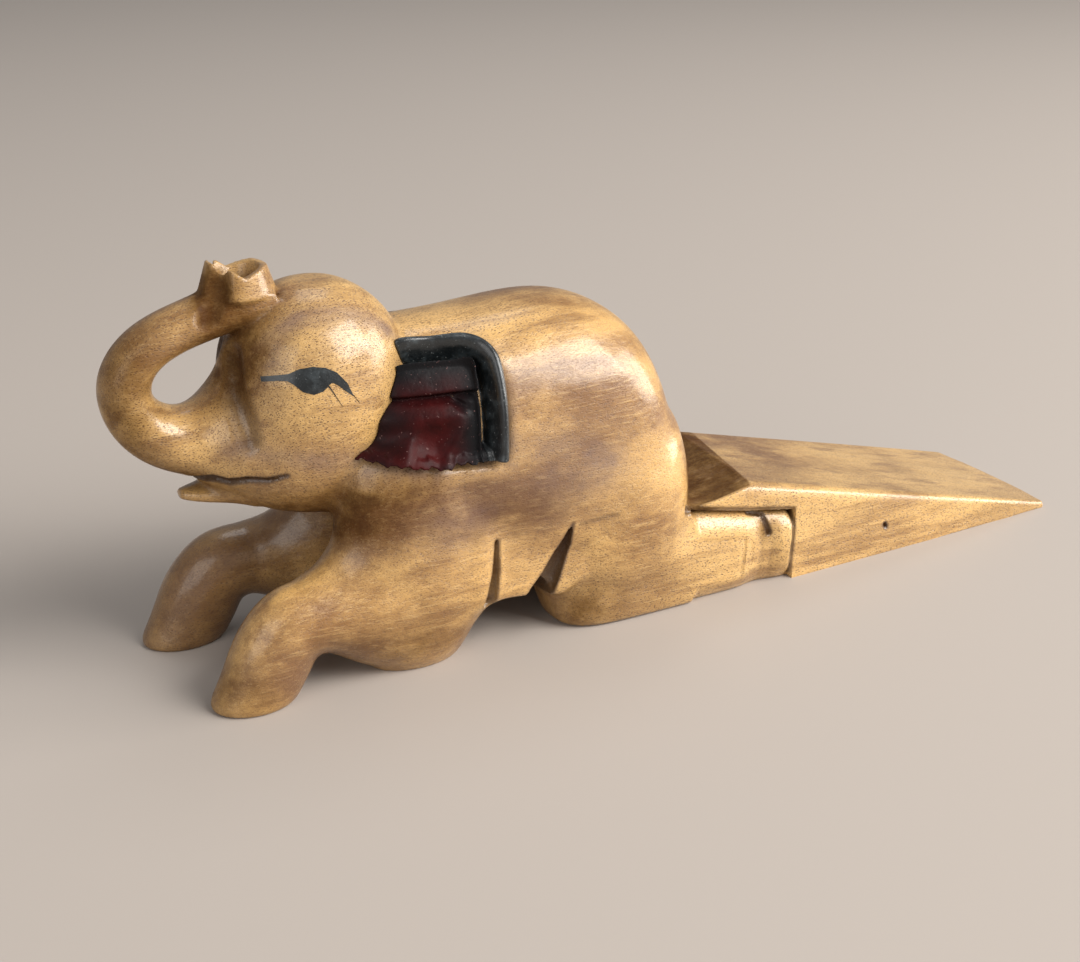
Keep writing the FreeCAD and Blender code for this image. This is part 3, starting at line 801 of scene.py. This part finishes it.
# ---- materials ------------------------------------------------------------------------------------------
class Nodes:
    """Short calls for building a node tree."""

    def __init__(self, name):
        self.material = bpy.data.materials.new(name)
        self.material.use_nodes = True
        self.tree = self.material.node_tree
        self.shader = self.tree.nodes["Principled BSDF"]
        self.place = self.tree.nodes.new("ShaderNodeTexCoord").outputs["Object"]

    def link(self, source, target):
        self.tree.links.new(source, target)

    def number(self, operation, a, b=0.0, c=0.0, clamp=False):
        node = self.tree.nodes.new("ShaderNodeMath")
        node.operation = operation
        node.use_clamp = clamp
        for socket, value in zip(node.inputs, (a, b, c)):
            if isinstance(value, (int, float)):
                socket.default_value = value
            else:
                self.link(value, socket)
        return node.outputs[0]

    def mapped(self, scale, rotation=(0.0, 0.0, 0.0)):
        node = self.tree.nodes.new("ShaderNodeMapping")
        node.inputs["Scale"].default_value = scale
        node.inputs["Rotation"].default_value = rotation
        self.link(self.place, node.inputs["Vector"])
        return node.outputs[0]

    def noise(self, vector, scale, detail, roughness):
        node = self.tree.nodes.new("ShaderNodeTexNoise")
        node.inputs["Scale"].default_value = scale
        node.inputs["Detail"].default_value = detail
        node.inputs["Roughness"].default_value = roughness
        self.link(vector, node.inputs["Vector"])
        return node.outputs["Fac"]

    def cells(self, vector, scale):
        node = self.tree.nodes.new("ShaderNodeTexVoronoi")
        node.inputs["Scale"].default_value = scale
        self.link(vector, node.inputs["Vector"])
        return node.outputs["Distance"]

    def between(self, value, low, high, out_low=0.0, out_high=1.0):
        node = self.tree.nodes.new("ShaderNodeMapRange")
        node.interpolation_type = "SMOOTHSTEP"
        for socket, number in zip(node.inputs[1:5], (low, high, out_low, out_high)):
            socket.default_value = number
        self.link(value, node.inputs["Value"])
        return node.outputs[0]

    def mask(self, name):
        node = self.tree.nodes.new("ShaderNodeAttribute")
        node.attribute_name = name
        return node.outputs["Fac"]

    def mix(self, share, a, b, blend="MIX"):
        node = self.tree.nodes.new("ShaderNodeMix")
        node.data_type = "RGBA"
        node.blend_type = blend
        for socket, value in ((node.inputs[0], share), (node.inputs[6], a), (node.inputs[7], b)):
            if isinstance(value, (int, float)):
                socket.default_value = value
            elif isinstance(value, tuple):
                socket.default_value = value + (1.0,)
            else:
                self.link(value, socket)
        return node.outputs[2]

    def bump(self, height, strength, distance, normal=None):
        node = self.tree.nodes.new("ShaderNodeBump")
        node.inputs["Strength"].default_value = strength
        node.inputs["Distance"].default_value = distance
        self.link(height, node.inputs["Height"])
        if normal is not None:
            self.link(normal, node.inputs["Normal"])
        return node.outputs[0]


def wood_material():
    """Golden-tan hardwood with short dark pores along X, patina and painted shade, under a varnish that is
    dull where these lie.
    """
    n = Nodes("varnished_wood")
    fibre = n.noise(n.mapped((0.05, 1.0, 1.0)), 1900.0, 3.0, 0.6)
    streak = n.noise(n.mapped((0.1, 1.0, 1.0), (0.0, 0.04, 0.06)), 190.0, 4.0, 0.6)
    cloud = n.noise(n.mapped((0.6, 1.0, 1.0)), 42.0, 5.0, 0.62)
    broad = n.noise(n.mapped((0.7, 1.0, 1.0)), 15.0, 2.0, 0.5)
    pore_gap = n.cells(n.mapped((0.38, 1.0, 1.0)), 2300.0)
    pores = n.number("MULTIPLY", n.between(pore_gap, 0.36, 0.2), n.between(broad, 0.3, 0.6, 0.35, 1.0))
    fine_gap = n.cells(n.mapped((0.3, 1.0, 1.0), (0.0, 0.02, 0.03)), 4200.0)
    fine = n.between(fine_gap, 0.42, 0.22)
    base = n.mix(n.between(cloud, 0.36, 0.64), (0.22, 0.100, 0.027), (0.66, 0.390, 0.135))
    base = n.mix(n.number("MULTIPLY", n.between(broad, 0.4, 0.7), 0.5), base, (0.68, 0.43, 0.160))
    base = n.mix(n.number("MULTIPLY", n.between(streak, 0.48, 0.68), 0.6), base, (0.19, 0.082, 0.022))
    base = n.mix(n.number("MULTIPLY", n.between(fibre, 0.50, 0.72), 0.35), base, (0.76, 0.51, 0.22))
    # Blotchy noise that breaks up the smoke stains, the patina and the painted shade.
    blotch_noise = n.noise(n.mapped((0.8, 1.0, 1.0)), 80.0, 6.0, 0.7)
    # Patina and painted shade in the hollows, mixed towards near black.
    hollow_patina_and_shade = n.number("MULTIPLY", n.mask("hollow_patina_and_shade"), n.between(blotch_noise, 0.2, 0.6, 0.55, 1.0), clamp=True)
    base = n.mix(n.number("MULTIPLY", hollow_patina_and_shade, 0.96, clamp=True), base, (0.040, 0.011, 0.003))
    # Dark patches: partly the wood's patina and a knot, partly painted shade.
    dark = n.number("MULTIPLY", n.mask("dark"), n.between(blotch_noise, 0.25, 0.65, 0.4, 1.0), clamp=True)
    base = n.mix(n.number("MULTIPLY", dark, 0.93), base, (0.052, 0.017, 0.003))
    # Varnish sheen is taken away where patina and painted shade lie.
    patina_and_shade = n.number("MAXIMUM", hollow_patina_and_shade, dark)
    # Painted shade on the far forelegs.
    far_leg_shade = n.number("MULTIPLY", n.mask("far_leg_shade"), n.between(blotch_noise, 0.3, 0.7, 0.5, 0.8))
    base = n.mix(far_leg_shade, base, (0.125, 0.058, 0.022))
    smoke = n.number("MULTIPLY", n.mask("smoke"), n.between(blotch_noise, 0.3, 0.7, 0.3, 0.85), clamp=True)
    base = n.mix(smoke, base, (0.19, 0.125, 0.105))
    base = n.mix(n.number("MULTIPLY", n.mask("crest"), 0.4), base, (0.72, 0.47, 0.2))
    # Painted shade along the knife-cut grooves.
    base = n.mix(n.number("MULTIPLY", n.mask("knife"), 0.85), base, (0.035, 0.014, 0.006))
    base = n.mix(n.number("MULTIPLY", pores, 0.78), base, (0.08, 0.032, 0.011))
    base = n.mix(n.number("MULTIPLY", fine, 0.42), base, (0.12, 0.052, 0.018))
    n.link(base, n.shader.inputs["Base Color"])
    n.link(n.between(cloud, 0.2, 0.8, 0.46, 0.32), n.shader.inputs["Roughness"])
    n.link(n.between(patina_and_shade, 0.1, 0.8, 0.5, 0.06), n.shader.inputs["Specular IOR Level"])
    n.link(n.between(patina_and_shade, 0.1, 0.8, 0.55, 0.0), n.shader.inputs["Coat Weight"])
    n.shader.inputs["Coat Roughness"].default_value = 0.17
    tool_marks = n.bump(cloud, 0.8, 0.0019)
    grain = n.bump(fibre, 0.3, 0.0002, tool_marks)
    sunk = n.number("MULTIPLY", n.number("ADD", pores, n.number("MULTIPLY", fine, 0.4)), -1.0)
    n.link(n.bump(sunk, 0.5, 0.00018, grain), n.shader.inputs["Normal"])
    return n.material


def black_material():
    """Black lacquer worn to grey-blue in random patches."""
    n = Nodes("black_lacquer")
    wear = n.noise(n.place, 260.0, 5.0, 0.7)
    specks = n.noise(n.place, 1500.0, 2.0, 0.5)
    base = n.mix(n.between(wear, 0.45, 0.75), (0.006, 0.008, 0.009), (0.035, 0.045, 0.05))
    base = n.mix(n.between(specks, 0.66, 0.74), base, (0.12, 0.13, 0.13))
    n.link(base, n.shader.inputs["Base Color"])
    n.link(n.between(wear, 0.3, 0.7, 0.3, 0.45), n.shader.inputs["Roughness"])
    n.shader.inputs["Coat Weight"].default_value = 0.5
    n.shader.inputs["Coat Roughness"].default_value = 0.2
    n.link(n.bump(wear, 0.3, 0.0006), n.shader.inputs["Normal"])
    return n.material


def red_material():
    """Dark red lacquer shaded to black round the edges."""
    n = Nodes("red_lacquer")
    cloud = n.noise(n.place, 90.0, 4.0, 0.6)
    specks = n.noise(n.place, 1500.0, 2.0, 0.5)
    wrinkle = n.noise(n.place, 520.0, 4.0, 0.6)
    base = n.mix(n.between(cloud, 0.3, 0.7), (0.015, 0.002, 0.002), (0.050, 0.003, 0.003))
    base = n.mix(n.number("MULTIPLY", n.mask("black"), 0.96), base, (0.006, 0.007, 0.008))
    base = n.mix(n.between(specks, 0.68, 0.75), base, (0.15, 0.08, 0.075))
    n.link(base, n.shader.inputs["Base Color"])
    n.link(n.between(cloud, 0.3, 0.7, 0.38, 0.55), n.shader.inputs["Roughness"])
    n.shader.inputs["Specular IOR Level"].default_value = 0.1
    n.shader.inputs["Coat Weight"].default_value = 0.02
    n.shader.inputs["Coat Roughness"].default_value = 0.25
    waves = n.bump(cloud, 0.5, 0.0012)
    n.link(n.bump(wrinkle, 0.35, 0.0003, waves), n.shader.inputs["Normal"])
    return n.material


def floor_material():
    """Plain pale floor."""
    n = Nodes("plain_floor")
    n.shader.inputs["Base Color"].default_value = (0.42, 0.37, 0.33, 1.0)
    n.shader.inputs["Roughness"].default_value = 0.75
    return n.material


# ---- stage, light and camera ----------------------------------------------------------------------------
def make_floor():
    mesh = bpy.data.meshes.new("floor")
    half = 4.0
    z = cad_box[0][2]
    mesh.from_pydata([(-half, -half, z), (half, -half, z), (half, half, z), (-half, half, z)], [],
                     [(0, 1, 2, 3)])
    floor = bpy.data.objects.new("floor", mesh)
    bpy.context.scene.collection.objects.link(floor)
    mesh.materials.append(floor_material())


def add_light(name, direction, distance, size, power, colour):
    """A soft square light aimed at the object from a direction."""
    light = bpy.data.lights.new(name, "AREA")
    light.size = size
    light.energy = power
    light.color = colour
    obj = bpy.data.objects.new(name, light)
    way = Vector(direction).normalized()
    obj.location = middle_of_box() + way * distance
    obj.rotation_mode = "QUATERNION"
    obj.rotation_quaternion = way.to_track_quat("Z", "Y")
    bpy.context.scene.collection.objects.link(obj)


def middle_of_box():
    return (cad_box[0] + cad_box[1]) / 2.0


def light_scene():
    world = bpy.data.worlds.new("studio")
    world.use_nodes = True
    background = world.node_tree.nodes["Background"]
    background.inputs["Color"].default_value = (0.95, 0.97, 1.0, 1.0)
    background.inputs["Strength"].default_value = 0.26
    bpy.context.scene.world = world
    add_light("window", (0.48, -0.62, 0.58), 2.4, 1.5, 82.0, (1.0, 0.98, 0.95))
    add_light("low_side", (0.88, -0.36, 0.26), 2.4, 1.2, 42.0, (1.0, 0.97, 0.92))
    add_light("front", (-0.78, -0.50, 0.42), 2.4, 1.6, 17.0, (1.0, 0.98, 0.96))
    add_light("top", (0.15, 0.40, 0.90), 2.4, 1.0, 8.0, (1.0, 1.0, 1.0))


def place_camera():
    azimuth, elevation = math.radians(-29.5), math.radians(23.0)
    back = Vector((math.sin(azimuth) * math.cos(elevation), -math.cos(azimuth) * math.cos(elevation),
                   math.sin(elevation)))
    right = Vector((math.cos(azimuth), math.sin(azimuth), 0.0))
    up = back.cross(right)
    camera = bpy.data.objects.new("camera", bpy.data.cameras.new("camera"))
    camera.data.sensor_width = 36.0
    camera.data.lens = 53.33
    camera.location = middle_of_box() + back * 0.4672 - right * 0.0241 - up * 0.0248
    camera.rotation_mode = "QUATERNION"
    camera.rotation_quaternion = back.to_track_quat("Z", "Y")
    bpy.context.scene.collection.objects.link(camera)
    bpy.context.scene.camera = camera


# ---- build ------------------------------------------------------------------------------------------------
def dress(piece, material):
    piece.data.materials.clear()
    piece.data.materials.append(material)
    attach(piece, "root")


def build():
    field, shoulder, head = merge_members()
    cuts = grooves(field)
    for path, radii, soft, _ in cuts:
        cut_groove(field, path, radii, soft)
    field = np.maximum(field, cad_box[0][2] * MM - BODY.z).astype(np.float32)
    wood = wood_material()
    for piece in make_wood(field, cuts):
        dress(piece, wood)
    black = black_material()
    red = red_material()
    for side in (-1, 1):
        rim, ear_field = make_ear(side, shoulder, head)
        dress(rim, black)
        dress(ear_field, red)
        dress(make_eye(side, field), black)


place_camera()
light_scene()
make_floor()
build()
bpy.context.scene.view_settings.view_transform = "Standard"
